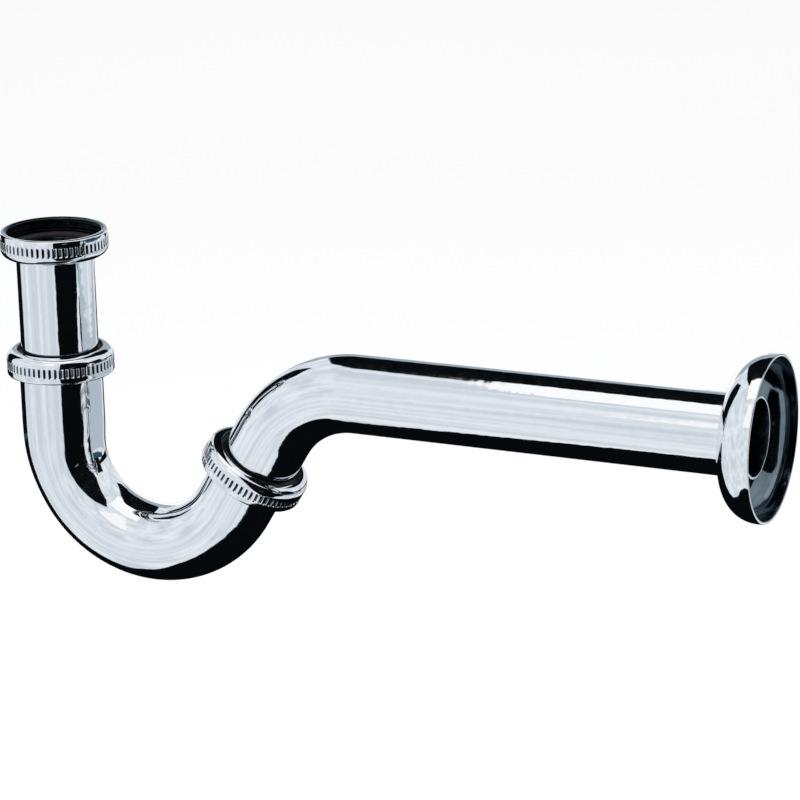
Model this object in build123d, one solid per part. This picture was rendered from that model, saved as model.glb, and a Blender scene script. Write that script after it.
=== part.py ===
from build123d import *
import math
import os

# Chromed brass P trap for a 1 1/4 inch basin waste and 32 mm pipe, in millimetres.
# Origin: on the inlet axis, where the thread starts inside the inlet nut's mouth.
# +Z up, +X towards the wall.

# Drawn tube
TUBE_R = 16.0
WALL = 1.0
BORE_R = TUBE_R - WALL

# G 1 1/4 pipe thread. Where nut and tube both carry it, the crests are cut back to run clear.
PITCH = 2.309
MAJOR_R = 20.955
MINOR_R = 19.476
CLEAR_FEMALE_R = 20.25
CLEAR_MALE_R = 20.15
MALE_ROOT_R = 19.4
CREST_FLAT = 0.36

# Union nut, the same size in all three joints
NUT_R = 22.2
NUT_H = 10.6
NUT_BORE_R = 17.6
NUT_LIP = 1.4
NUT_RELIEF = 3.4
MOUTH_CHAMFER = 0.5
CLOSED_ROUND = 3.6
OPEN_ROUND = 1.0
KNURL_H = 4.1
KNURL_FROM_MOUTH = 2.8
KNURL_COUNT = 60
KNURL_DEPTH = 0.5
KNURL_WIDTH = 1.1

# Rings, seals and flanges inside the joints
RUNNING_FIT = 0.06
STACK_GAP = 0.05
RING_R = 19.2
RING_H = 0.7
FLANGE_H = 1.0
GASKET_H = 1.6
CONE_R = 18.7
CONE_TIP_R = 17.0
CONE_SHOULDER_H = 1.2
CONE_H = 3.6
SEAT_GAP = 0.3
SEAT_MOUTH_R = 18.9

# Inlet tube and the widened leg of the U-bend that takes it
MIDDLE_LIP_Z = -49.6
INLET_TUBE_END_Z = -79.5
BEND_Z = -88.0
SOCKET_R = 17.2
SOCKET_BORE_R = 16.3
TAPER_Z = -80.0
TAPER_SWEEP = 30.0
TAPER_STEPS = 3

# U-bend
U_RADIUS = 42.25
U_SWEEP = 149.3
LOWER_LIP_AT = 25.2

# Outlet tube
OUTLET_RISE = U_SWEEP - 90.0
OUTLET_BEND_AT = 37.3
OUTLET_RADIUS = 43.8
OUTLET_RUN = 166.5

# Wall rosette
ROSETTE_R = 32.6
ROSETTE_NECK_R = 16.8
ROSETTE_DEPTH = 15.8
ROSETTE_ROUND = 13.0
ROSETTE_SHEET = 0.6
ROSETTE_HEM = 1.2
ROSETTE_NECK_L = 3.2
ROSETTE_PAST_PIPE = 6.3
GRIP_RING_L = 2.6

# Places that follow from the sizes above
INLET_CLOSED_Z = MOUTH_CHAMFER - NUT_H
RISE_SIN = math.sin(math.radians(OUTLET_RISE))
RISE_COS = math.cos(math.radians(OUTLET_RISE))
RISE_DIR = Vector(RISE_COS, 0, RISE_SIN)
TAPER_LENGTH = TAPER_Z - BEND_Z + math.radians(TAPER_SWEEP) * U_RADIUS
U_CENTRE = Vector(U_RADIUS, 0, BEND_Z)
U_END = U_CENTRE + Vector(RISE_SIN, 0, -RISE_COS) * U_RADIUS
LOWER_JOINT = Plane(origin=U_END, x_dir=(0, 1, 0), z_dir=RISE_DIR)
OUTLET_BEND_START = U_END + RISE_DIR * OUTLET_BEND_AT
OUTLET_CENTRE = OUTLET_BEND_START + Vector(RISE_SIN, 0, -RISE_COS) * OUTLET_RADIUS
RUN_START = OUTLET_CENTRE + Vector(0, 0, OUTLET_RADIUS)
PIPE_END = RUN_START + Vector(OUTLET_RUN, 0, 0)
ROSETTE_MOUTH = Plane(
    origin=PIPE_END + Vector(ROSETTE_PAST_PIPE, 0, 0), x_dir=(0, 1, 0), z_dir=(1, 0, 0)
)


def outline(points):
    """Closed face in the local XZ plane from (radius, height) points."""
    return make_face(Plane.XZ * Polyline(*points, close=True))


def turned(points, at=Plane.XY):
    """Turned solid about the local Z axis from (radius, height) points."""
    return at * revolve(outline(points), Axis.Z)


def sleeve(inner, outer, low, high, at=Plane.XY):
    """Plain round sleeve about the local Z axis."""
    return turned([(inner, low), (outer, low), (outer, high), (inner, high)], at)


def bend(start, along, centre, turn_axis, angle):
    """Stretch of tube that turns about a centre, from a start point and direction."""
    section = Plane(origin=start, z_dir=along) * (Circle(TUBE_R) - Circle(BORE_R))
    return revolve(section, Axis(centre, turn_axis), angle)


def thread_points(crest, root, low, high):
    """Points of thread drawn as rings: crest at both ends, from low to high."""
    slope = PITCH / 2 - CREST_FLAT
    points = []
    for turn in range(int((high - low - CREST_FLAT) / PITCH)):
        base = low + turn * PITCH
        points.append((crest, base))
        points.append((crest, base + CREST_FLAT))
        points.append((root, base + CREST_FLAT + slope))
        points.append((root, base + 2 * CREST_FLAT + slope))
    last = low + int((high - low - CREST_FLAT) / PITCH) * PITCH
    points.append((crest, last))
    points.append((crest, high))
    return points


def corner(face, radius, height):
    """The vertex of a profile face at a given radius and height."""
    return face.vertices().sort_by_distance((radius, 0, height))[0]


def union_nut(crest):
    """Knurled union nut: closed end at local z = 0, open mouth at z = NUT_H."""
    thread_low = NUT_LIP + NUT_RELIEF
    thread_high = NUT_H - MOUTH_CHAMFER
    points = [(NUT_R, NUT_H), (NUT_R, 0), (NUT_BORE_R, 0), (NUT_BORE_R, NUT_LIP), (MAJOR_R, NUT_LIP)]
    points.append((MAJOR_R, thread_low - MOUTH_CHAMFER))
    points += thread_points(crest, MAJOR_R, thread_low, thread_high)
    points.append((crest + MOUTH_CHAMFER, NUT_H))
    face = outline(points)
    face = fillet(corner(face, NUT_R, 0), CLOSED_ROUND)
    face = fillet(corner(face, NUT_R, NUT_H), OPEN_ROUND)
    nut = revolve(face, Axis.Z)
    slot_z = NUT_H - KNURL_FROM_MOUTH - KNURL_H / 2
    slot = Pos(0, 0, slot_z) * Box(2 * KNURL_DEPTH, KNURL_WIDTH, KNURL_H)
    turns = [Rot(0, 0, number * 360 / KNURL_COUNT) for number in range(KNURL_COUNT)]
    return nut - [turn * Pos(NUT_R, 0, 0) * slot for turn in turns]


def slip_ring(at):
    """Thin plastic ring that a nut turns on, from its local z = 0 up."""
    return sleeve(TUBE_R + RUNNING_FIT, RING_R, 0, RING_H, at)


def inlet_parts():
    """Height-adjusting inlet tube with flange and gasket, and the nut that joins it to the waste."""
    lip_z = INLET_CLOSED_Z + NUT_LIP
    flange_z = lip_z + RING_H + STACK_GAP
    seat_z = flange_z + FLANGE_H
    return {
        "inlet_nut": Pos(0, 0, INLET_CLOSED_Z) * union_nut(MINOR_R),
        "inlet_slip_ring": slip_ring(Plane.XY.offset(lip_z)),
        "inlet_flange": sleeve(TUBE_R, RING_R, flange_z, seat_z),
        "inlet_gasket": sleeve(BORE_R, RING_R, seat_z, seat_z + GASKET_H),
        "inlet_tube": sleeve(BORE_R, TUBE_R, INLET_TUBE_END_Z, seat_z),
    }


def middle_joint_parts():
    """Slip joint for height: nut, plastic ring and rubber cone over the U-bend's threaded socket."""
    nut_at = Plane(origin=(0, 0, MIDDLE_LIP_Z), x_dir=(1, 0, 0), z_dir=(0, 0, -1))
    ring_z = MIDDLE_LIP_Z - NUT_LIP - RING_H
    cone_top = ring_z - STACK_GAP
    shoulder = cone_top - CONE_SHOULDER_H
    tip = cone_top - CONE_H
    bore = TUBE_R + RUNNING_FIT
    cone = [(bore, tip), (CONE_TIP_R, tip), (CONE_R, shoulder), (CONE_R, cone_top), (bore, cone_top)]
    seat_low = tip - SEAT_GAP
    seat_high = shoulder - SEAT_GAP
    thread_low = MIDDLE_LIP_Z - NUT_H + STACK_GAP
    socket = thread_points(CLEAR_MALE_R, MALE_ROOT_R, thread_low, seat_high)
    socket += [(SEAT_MOUTH_R, seat_high), (SOCKET_R, seat_low), (SOCKET_R, thread_low)]
    return {
        "middle_nut": nut_at * union_nut(CLEAR_FEMALE_R),
        "middle_slip_ring": slip_ring(Plane.XY.offset(ring_z)),
        "middle_cone_seal": turned(cone),
        "u_bend_inlet_socket": turned(socket),
        "u_bend_tube": u_bend_tube(seat_low),
    }


def taper_share(distance):
    """How far the widened leg has narrowed, from 0 to 1, at a distance past its start."""
    part = distance / TAPER_LENGTH
    return part * part * (3 - 2 * part)


def bend_section(angle):
    """Plane across the U-bend at an angle from its start."""
    turn = math.radians(angle)
    across = Vector(-math.cos(turn), 0, -math.sin(turn))
    along = Vector(math.sin(turn), 0, -math.cos(turn))
    return Plane(origin=U_CENTRE + across * U_RADIUS, x_dir=(0, 1, 0), z_dir=along)


def tapered_bend(wide, narrow):
    """Solid round bar that narrows gently along the first stretch of the U-bend."""
    path_at = Plane(origin=U_CENTRE, x_dir=(-1, 0, 0), z_dir=(0, -1, 0))
    path = Edge.make_circle(U_RADIUS, path_at, 0, TAPER_SWEEP)
    sections = []
    for step in range(TAPER_STEPS + 1):
        angle = TAPER_SWEEP * step / TAPER_STEPS
        share = taper_share(TAPER_Z - BEND_Z + math.radians(angle) * U_RADIUS)
        sections.append(bend_section(angle) * Circle(wide + (narrow - wide) * share))
    return sweep(sections, path=path, multisection=True)


def u_bend_tube(top):
    """Drawn U-shaped tube: widened inlet leg up to its top, long bend and short outlet leg."""
    share = taper_share(TAPER_Z - BEND_Z)
    outer = SOCKET_R + (TUBE_R - SOCKET_R) * share
    inner = SOCKET_BORE_R + (BORE_R - SOCKET_BORE_R) * share
    leg = [(inner, BEND_Z), (outer, BEND_Z), (SOCKET_R, TAPER_Z), (SOCKET_R, top)]
    leg += [(SOCKET_BORE_R, top), (SOCKET_BORE_R, TAPER_Z)]
    narrowing = tapered_bend(SOCKET_R, TUBE_R) - tapered_bend(SOCKET_BORE_R, BORE_R)
    start = bend_section(TAPER_SWEEP)
    rest = U_SWEEP - TAPER_SWEEP
    long_bend = bend(start.origin, start.z_dir, U_CENTRE, (0, -1, 0), rest)
    outlet_leg = sleeve(BORE_R, TUBE_R, 0, lower_joint_heights()["gasket_low"], LOWER_JOINT)
    return turned(leg) + narrowing + long_bend + outlet_leg


def lower_joint_heights():
    """Heights of the lower joint's stack along the outlet leg, from the end of the U-bend."""
    ring_low = LOWER_LIP_AT - NUT_LIP - RING_H
    flange_low = ring_low - STACK_GAP - FLANGE_H
    return {
        "ring_low": ring_low,
        "flange_low": flange_low,
        "gasket_low": flange_low - GASKET_H,
        "thread_low": LOWER_LIP_AT - NUT_H + STACK_GAP,
    }


def lower_joint_parts():
    """Union of U-bend and outlet tube: the nut hangs on the outlet's flange, mouth to the U-bend."""
    at = lower_joint_heights()
    nut_origin = U_END + RISE_DIR * LOWER_LIP_AT
    nut_at = Plane(origin=nut_origin, x_dir=(0, 1, 0), z_dir=RISE_DIR * -1)
    flange_high = at["flange_low"] + FLANGE_H
    ferrule = thread_points(CLEAR_MALE_R, MALE_ROOT_R, at["thread_low"], at["gasket_low"])
    ferrule += [(TUBE_R, at["gasket_low"]), (TUBE_R, at["thread_low"])]
    return {
        "lower_nut": nut_at * union_nut(CLEAR_FEMALE_R),
        "lower_slip_ring": slip_ring(LOWER_JOINT.offset(at["ring_low"])),
        "outlet_flange": sleeve(TUBE_R, RING_R, at["flange_low"], flange_high, LOWER_JOINT),
        "lower_gasket": sleeve(BORE_R, RING_R, at["gasket_low"], at["flange_low"], LOWER_JOINT),
        "u_bend_outlet_ferrule": turned(ferrule, LOWER_JOINT),
        "outlet_tube": outlet_tube(at["flange_low"]),
    }


def outlet_tube(leg_start):
    """Drawn outlet tube: sloping leg from the union, bend to level and the run to the wall."""
    leg = sleeve(BORE_R, TUBE_R, leg_start, OUTLET_BEND_AT, LOWER_JOINT)
    level_bend = bend(OUTLET_BEND_START, RISE_DIR, OUTLET_CENTRE, (0, 1, 0), OUTLET_RISE)
    run_at = Plane(origin=RUN_START, x_dir=(0, 1, 0), z_dir=(1, 0, 0))
    run = sleeve(BORE_R, TUBE_R, 0, OUTLET_RUN, run_at)
    return leg + level_bend + run


def bell_outline(radius, top, rounding):
    """Filled half-section of the rosette's bell down to its mouth, its shoulder rounded."""
    face = outline([(ROSETTE_NECK_R, 0), (radius, 0), (radius, top), (ROSETTE_NECK_R, top)])
    return fillet(corner(face, radius, top), rounding)


def rosette_parts():
    """Spun bell that hides the hole in the wall, and the rubber ring in its neck."""
    neck_low = -ROSETTE_DEPTH
    outside = bell_outline(ROSETTE_R, neck_low, ROSETTE_ROUND)
    inside = bell_outline(
        ROSETTE_R - ROSETTE_SHEET, neck_low + ROSETTE_SHEET, ROSETTE_ROUND - ROSETTE_SHEET
    )
    neck = Plane.XZ * Pos(ROSETTE_NECK_R, neck_low) * Rectangle(
        ROSETTE_SHEET, ROSETTE_NECK_L, align=(Align.MIN, Align.MIN)
    )
    hem = Plane.XZ * Pos(ROSETTE_R, 0) * Rectangle(
        ROSETTE_HEM, ROSETTE_HEM, align=(Align.MAX, Align.MAX)
    )
    bell = revolve(outside - inside, Axis.Z) + revolve(neck, Axis.Z) + revolve(hem, Axis.Z)
    grip_low = neck_low + ROSETTE_SHEET / 2
    grip_bore = TUBE_R + RUNNING_FIT
    grip_outer = ROSETTE_NECK_R - RUNNING_FIT
    return {
        "wall_rosette": ROSETTE_MOUTH * bell,
        "rosette_grip_ring": sleeve(
            grip_bore, grip_outer, grip_low, grip_low + GRIP_RING_L, ROSETTE_MOUTH
        ),
    }


os.makedirs("parts", exist_ok=True)
parts = {**inlet_parts(), **middle_joint_parts(), **lower_joint_parts(), **rosette_parts()}
for node, shape in parts.items():
    export_step(shape, f"parts/{node}.step")
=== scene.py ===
"""Looks of a chromed tubular P trap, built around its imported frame.

Every piece is modelled in the frame of the trap: +Z up along the inlet tube and +X along the
outlet tube, towards the wall. Turned pieces are drawn as a profile of (radius, height) points
and spun, tubes are a ring that is extruded and spun along the bends, and each piece rides on
the body of the part that it stands for. Fields that size a piece are in millimetres. Places,
and the fields of a finish and of the studio, are in metres.
"""

import logging
import math
from collections.abc import Callable
from dataclasses import dataclass, field, replace
from enum import Enum

import bmesh
import bpy
from mathutils import Matrix, Vector


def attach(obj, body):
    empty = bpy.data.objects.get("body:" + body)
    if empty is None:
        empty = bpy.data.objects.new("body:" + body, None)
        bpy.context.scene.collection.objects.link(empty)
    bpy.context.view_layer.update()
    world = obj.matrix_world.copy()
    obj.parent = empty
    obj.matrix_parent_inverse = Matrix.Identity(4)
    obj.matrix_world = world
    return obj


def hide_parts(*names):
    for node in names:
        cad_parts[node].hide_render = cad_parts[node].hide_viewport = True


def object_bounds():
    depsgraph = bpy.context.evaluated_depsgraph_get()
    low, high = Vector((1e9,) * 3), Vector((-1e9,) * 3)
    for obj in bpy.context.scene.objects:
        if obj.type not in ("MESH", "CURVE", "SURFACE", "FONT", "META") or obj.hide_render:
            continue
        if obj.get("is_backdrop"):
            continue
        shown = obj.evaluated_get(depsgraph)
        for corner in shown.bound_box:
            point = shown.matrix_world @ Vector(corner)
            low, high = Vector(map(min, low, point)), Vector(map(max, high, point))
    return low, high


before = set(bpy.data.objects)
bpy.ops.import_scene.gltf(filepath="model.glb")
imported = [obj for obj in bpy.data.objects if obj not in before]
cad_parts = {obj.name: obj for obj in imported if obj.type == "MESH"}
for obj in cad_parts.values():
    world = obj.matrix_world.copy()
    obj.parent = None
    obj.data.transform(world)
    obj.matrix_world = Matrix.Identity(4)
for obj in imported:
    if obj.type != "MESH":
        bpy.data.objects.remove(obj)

LOG = logging.getLogger("p_trap")
MM = 0.001
WELD = 0.000002
COLUMNS = 128
UP = Vector((0.0, 0.0, 1.0))
DOWN = Vector((0.0, 0.0, -1.0))
Profile = list[tuple[float, float]]
Triple = tuple[float, float, float]
FaceTest = Callable[[float, Vector, float], bool]
Material = bpy.types.Material
Piece = bpy.types.Object
Socket = bpy.types.NodeSocket


# ---------------------------------------------------------------------------------------
# Finishes


class Finish(Enum):
    """Material slots of the part's record."""

    CHROME = "chrome"
    BRASS = "brass"
    RUBBER = "rubber"
    PLASTIC = "ring_plastic"


class NodeBoard:
    """A material's node tree, with short calls to add and join nodes.

    Attributes:
        material: The material that the tree belongs to.
        shader: Its Principled BSDF node.
    """

    def __init__(self, name: str) -> None:
        """Starts a material with a Principled BSDF.

        Args:
            name: Name of the material.
        """
        self.material = bpy.data.materials.new(name)
        self.material.use_nodes = True
        self.tree = self.material.node_tree
        self.shader = self.tree.nodes["Principled BSDF"]

    def add(self, kind: str) -> bpy.types.Node:
        """Adds a node of a type, such as ShaderNodeTexNoise."""
        return self.tree.nodes.new(kind)

    def join(self, source: Socket, target: Socket) -> None:
        """Links two sockets."""
        self.tree.links.new(source, target)

    def place(self, stretch: Triple = (1.0, 1.0, 1.0)) -> Socket:
        """Object coordinates, stretched.

        Args:
            stretch: Factor along each axis.

        Returns:
            The socket that gives the coordinates.
        """
        coordinates = self.add("ShaderNodeTexCoord")
        mapping = self.add("ShaderNodeMapping")
        mapping.inputs["Scale"].default_value = stretch
        self.join(coordinates.outputs["Object"], mapping.inputs["Vector"])
        return mapping.outputs["Vector"]

    def noise(self, vector: Socket, size: float, detail: float) -> Socket:
        """Fractal noise.

        Args:
            vector: Coordinates to read.
            size: Size of its largest patches, in metres.
            detail: Number of finer layers.

        Returns:
            The socket that gives the noise, from 0 to 1.
        """
        node = self.add("ShaderNodeTexNoise")
        node.inputs["Scale"].default_value = 1.0 / size
        node.inputs["Detail"].default_value = detail
        self.join(vector, node.inputs["Vector"])
        return node.outputs["Fac"]

    def tint(self, value: Socket, dark: Triple, light: Triple) -> None:
        """Colours the shader between two colours.

        Args:
            value: Where it lies between them, from 0 to 1.
            dark: Colour at 0.
            light: Colour at 1.
        """
        ramp = self.add("ShaderNodeValToRGB")
        ramp.color_ramp.elements[0].color = (*dark, 1.0)
        ramp.color_ramp.elements[1].color = (*light, 1.0)
        self.join(value, ramp.inputs["Fac"])
        self.join(ramp.outputs["Color"], self.shader.inputs["Base Color"])

    def gloss(
        self, value: Socket, span: tuple[float, float], roughness: tuple[float, float]
    ) -> None:
        """Varies the shader's roughness.

        Args:
            value: Value that it follows.
            span: Low and high end of the value.
            roughness: Roughness at those two ends, and beyond them.
        """
        node = self.add("ShaderNodeMapRange")
        for name, limit in zip(("From Min", "From Max", "To Min", "To Max"), span + roughness):
            node.inputs[name].default_value = limit
        self.join(value, node.inputs["Value"])
        self.join(node.outputs["Result"], self.shader.inputs["Roughness"])

    def relief(self, *layers: tuple[Socket, float, float]) -> None:
        """Gives the surface a fine relief.

        Args:
            *layers: Height socket, height in metres and strength of each layer.
        """
        normal = None
        for height, distance, strength in layers:
            bump = self.add("ShaderNodeBump")
            bump.inputs["Distance"].default_value = distance
            bump.inputs["Strength"].default_value = strength
            self.join(height, bump.inputs["Height"])
            if normal is not None:
                self.join(normal, bump.inputs["Normal"])
            normal = bump.outputs["Normal"]
        self.join(normal, self.shader.inputs["Normal"])


@dataclass(frozen=True)
class ChromePlate:
    """Bright chrome plate on drawn or turned brass.

    Attributes:
        name: Name of the material.
        grain: How much closer the polishing lines lie along X, Y and Z.
        wave: Height of the long, soft waves that polishing leaves.
        dark: Colour of its duller patches.
        light: Colour of its clear patches.
        wave_size: Length of the waves.
        haze_size: Size of the patches.
        line_size: Spacing of the polishing lines.
        line_depth: Depth of the polishing lines.
        roughness: Lowest and highest roughness.
    """

    name: str
    grain: Triple = (1.0, 1.0, 1.0)
    wave: float = 0.00006
    dark: Triple = (0.86, 0.88, 0.9)
    light: Triple = (0.95, 0.96, 0.97)
    wave_size: float = 0.006
    haze_size: float = 0.004
    line_size: float = 0.0012
    line_depth: float = 0.0000008
    roughness: tuple[float, float] = (0.025, 0.075)

    def make(self) -> Material:
        """Builds the material."""
        board = NodeBoard(self.name)
        board.shader.inputs["Metallic"].default_value = 1.0
        place = board.place()
        haze = board.noise(place, self.haze_size, 6.0)
        board.tint(haze, self.dark, self.light)
        board.gloss(haze, (0.35, 0.7), self.roughness)
        lines = board.noise(board.place(self.grain), self.line_size, 2.0)
        waves = board.noise(place, self.wave_size, 1.0)
        board.relief((waves, self.wave, 1.0), (lines, self.line_depth, 1.0))
        return board.material


@dataclass(frozen=True)
class PatchyFinish:
    """A finish whose colour and gloss vary in patches, over a fine relief.

    Attributes:
        name: Name of the material.
        metallic: 1 for metal, 0 for rubber and plastic.
        dark: Colour of its dark patches.
        light: Colour of its light patches.
        patches: Size of the patches and number of finer layers in them.
        roughness: Roughness of the dark and of the light patches.
        grain: Size of the relief and number of finer layers in it.
        relief: Height and strength of the relief.
        stretch: How much closer the relief lies along X, Y and Z.
    """

    name: str
    metallic: float
    dark: Triple
    light: Triple
    patches: tuple[float, float]
    roughness: tuple[float, float]
    grain: tuple[float, float]
    relief: tuple[float, float]
    stretch: Triple = (1.0, 1.0, 1.0)

    def make(self) -> Material:
        """Builds the material."""
        board = NodeBoard(self.name)
        board.shader.inputs["Metallic"].default_value = self.metallic
        patches = board.noise(board.place(), *self.patches)
        board.tint(patches, self.dark, self.light)
        board.gloss(patches, (0.3, 0.7), self.roughness)
        grain = board.noise(board.place(self.stretch), *self.grain)
        board.relief((grain, *self.relief))
        return board.material


BARE_BRASS = PatchyFinish(
    name="bare_brass",
    metallic=1.0,
    dark=(0.42, 0.29, 0.1),
    light=(0.83, 0.66, 0.34),
    patches=(0.005, 5.0),
    roughness=(0.18, 0.42),
    grain=(0.0004, 2.0),
    relief=(0.00001, 0.6),
    stretch=(1.0, 1.0, 6.0),
)
MOULDED_RUBBER = PatchyFinish(
    name="moulded_rubber",
    metallic=0.0,
    dark=(0.008, 0.008, 0.009),
    light=(0.03, 0.03, 0.032),
    patches=(0.003, 4.0),
    roughness=(0.55, 0.8),
    grain=(0.00035, 3.0),
    relief=(0.00003, 0.5),
)
MOULDED_PLASTIC = PatchyFinish(
    name="moulded_plastic",
    metallic=0.0,
    dark=(0.004, 0.0045, 0.005),
    light=(0.012, 0.013, 0.015),
    patches=(0.004, 3.0),
    roughness=(0.35, 0.5),
    grain=(0.0006, 2.0),
    relief=(0.00001, 0.4),
)
# Duller, thinner plate for the bores, the insides of the nuts and the bottoms of the knurl
# grooves. Its gloss is the real plating; its teal-black colour is painted shade in those recesses.
DULL_PLATE_PAINTED_SHADE = PatchyFinish(
    name="dull_plate_painted_shade",
    metallic=1.0,
    dark=(0.015, 0.024, 0.03),
    light=(0.13, 0.18, 0.21),
    patches=(0.003, 5.0),
    roughness=(0.12, 0.32),
    grain=(0.0007, 3.0),
    relief=(0.000006, 0.6),
)
# The rosette's hollow gets the same plate, lighter and glossier: its dark colour is painted shade
# in the hollow.
DULL_BELL_PLATE_PAINTED_SHADE = replace(
    DULL_PLATE_PAINTED_SHADE,
    name="dull_bell_plate_painted_shade",
    dark=(0.09, 0.13, 0.155),
    light=(0.26, 0.32, 0.36),
    patches=(0.009, 5.0),
    roughness=(0.05, 0.14),
    grain=(0.0012, 3.0),
)


@dataclass(frozen=True)
class Palette:
    """The trap's materials, made once and shared by its pieces.

    Attributes:
        turned: Chrome of the nuts, the socket and the ferrule.
        upright: Chrome of the inlet tube.
        bent: Chrome of the U-bend.
        level: Chrome of the outlet tube.
        spun: Chrome of the rosette.
        brass: Bare brass of the flanges.
        rubber: Rubber of the gaskets, the cone seal and the grip ring.
        plastic: Plastic of the slip rings.
        dull_painted_shade: Thin plate, duller than the chrome, in the tubes, in the nuts and down
            in their grooves; its teal-black colour is painted shade.
        bell: The same, brighter, in the rosette's hollow, where its dark colour is painted shade
            too.
    """

    turned: Material = field(default_factory=ChromePlate("turned_chrome", wave=0.000002).make)
    upright: Material = field(
        default_factory=ChromePlate("upright_tube_chrome", grain=(1.0, 1.0, 5.0)).make
    )
    bent: Material = field(default_factory=ChromePlate("bent_tube_chrome").make)
    level: Material = field(
        default_factory=ChromePlate("outlet_tube_chrome", grain=(5.0, 1.0, 1.0)).make
    )
    spun: Material = field(default_factory=ChromePlate("spun_rosette_chrome").make)
    brass: Material = field(default_factory=BARE_BRASS.make)
    rubber: Material = field(default_factory=MOULDED_RUBBER.make)
    plastic: Material = field(default_factory=MOULDED_PLASTIC.make)
    dull_painted_shade: Material = field(default_factory=DULL_PLATE_PAINTED_SHADE.make)
    bell: Material = field(default_factory=DULL_BELL_PLATE_PAINTED_SHADE.make)

    def of(self, finish: Finish) -> Material:
        """Material of the small turned and moulded pieces in a slot of the record."""
        return {
            Finish.BRASS: self.brass,
            Finish.RUBBER: self.rubber,
            Finish.PLASTIC: self.plastic,
        }[finish]


# ---------------------------------------------------------------------------------------
# Hand tools


@dataclass(frozen=True)
class Seat:
    """Where a turned piece sits: its local Z axis in the trap's frame.

    Attributes:
        at: Place of the local origin, in metres.
        along: Direction of the local Z axis.
    """

    at: Vector
    along: Vector = field(default_factory=UP.copy)

    def matrix(self) -> Matrix:
        """The matrix from local to frame."""
        turn = UP.rotation_difference(self.along.normalized())
        return Matrix.Translation(self.at) @ turn.to_matrix().to_4x4()


def start_clean() -> None:
    """Leaves edit mode and selects nothing."""
    if bpy.context.object is not None and bpy.context.object.mode != "OBJECT":
        bpy.ops.object.mode_set(mode="OBJECT")
    bpy.ops.object.select_all(action="DESELECT")


def pick(piece: Piece) -> None:
    """Makes one piece the active and only selected one."""
    start_clean()
    bpy.context.view_layer.objects.active = piece
    piece.select_set(True)


def open_mesh(piece: Piece, kind: str = "VERT") -> bmesh.types.BMesh:
    """Gives the mesh of a piece in edit mode, with nothing selected.

    Args:
        piece: The active piece.
        kind: Select mode: VERT, EDGE or FACE.

    Returns:
        Its edit mesh.
    """
    if piece.mode != "EDIT":
        bpy.ops.object.mode_set(mode="EDIT")
    bpy.ops.mesh.select_mode(type=kind)
    bpy.ops.mesh.select_all(action="DESELECT")
    return bmesh.from_edit_mesh(piece.data)


def apply_modifier(piece: Piece, name: str, kind: str, **settings: object) -> None:
    """Adds a modifier to a piece and applies it.

    Args:
        piece: The piece.
        name: Name of the modifier.
        kind: Type of the modifier, such as BEVEL.
        **settings: Attributes to set on it.
    """
    pick(piece)
    modifier = piece.modifiers.new(name, kind)
    for key, value in settings.items():
        setattr(modifier, key, value)
    bpy.ops.object.modifier_apply(modifier=name)


def draw_line(name: str, start: Vector, steps: list[Vector]) -> Piece:
    """Draws a line in steps by extruding one vertex.

    Args:
        name: Name of the piece that it becomes.
        start: Its first point, in metres.
        steps: From each of its points to the next.

    Returns:
        The piece, in edit mode.
    """
    start_clean()
    bpy.ops.mesh.primitive_plane_add(size=MM, location=start)
    piece = bpy.context.object
    piece.name = piece.data.name = name
    bpy.ops.object.transform_apply(location=True, rotation=True, scale=True)
    bpy.ops.object.mode_set(mode="EDIT")
    bpy.ops.mesh.select_mode(type="VERT")
    bpy.ops.mesh.select_all(action="SELECT")
    bpy.ops.mesh.merge(type="CENTER")
    for step in steps:
        bpy.ops.mesh.extrude_vertices_move(TRANSFORM_OT_translate={"value": step})
    return piece


def draw_profile(name: str, points: Profile) -> Piece:
    """Draws a closed profile in the XZ plane.

    Args:
        name: Name of the piece that it becomes.
        points: Its (radius, height) points, in millimetres.

    Returns:
        The piece, in edit mode, with the whole profile selected.
    """
    start = Vector((points[0][0] * MM, 0.0, points[0][1] * MM))
    steps = [
        Vector(((there[0] - here[0]) * MM, 0.0, (there[1] - here[1]) * MM))
        for here, there in zip(points, points[1:])
    ]
    piece = draw_line(name, start, steps)
    mesh = open_mesh(piece)
    for vertex in mesh.verts:
        if len(vertex.link_edges) == 1:
            vertex.select_set(True)
    bmesh.update_edit_mesh(piece.data)
    bpy.ops.mesh.edge_face_add()
    bpy.ops.mesh.select_all(action="SELECT")
    return piece


def close_skin() -> None:
    """Welds the seams of a mesh in edit mode, turns its faces outward and leaves edit mode."""
    bpy.ops.mesh.select_all(action="SELECT")
    bpy.ops.mesh.remove_doubles(threshold=WELD)
    bpy.ops.mesh.normals_make_consistent(inside=False)
    bpy.ops.object.mode_set(mode="OBJECT")


def spin_profile(name: str, points: Profile, columns: int = COLUMNS) -> Piece:
    """Turns a profile about the Z axis into a closed piece.

    Args:
        name: Name of the piece.
        points: Its (radius, height) points, in millimetres.
        columns: Number of steps round.

    Returns:
        The piece, in object mode.
    """
    piece = draw_profile(name, points)
    bpy.ops.mesh.spin(steps=columns, angle=math.tau, center=(0.0, 0.0, 0.0), axis=UP)
    close_skin()
    return piece


def ease_edges(piece: Piece, width: float, angle: float = 35.0) -> None:
    """Rounds the sharp edges of a piece a little.

    Args:
        piece: The piece.
        width: Width of the rounding, in millimetres.
        angle: Angle between faces from which an edge is sharp, in degrees.
    """
    apply_modifier(
        piece,
        "eased_edges",
        "BEVEL",
        width=width * MM,
        segments=2,
        limit_method="ANGLE",
        angle_limit=math.radians(angle),
    )


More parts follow.
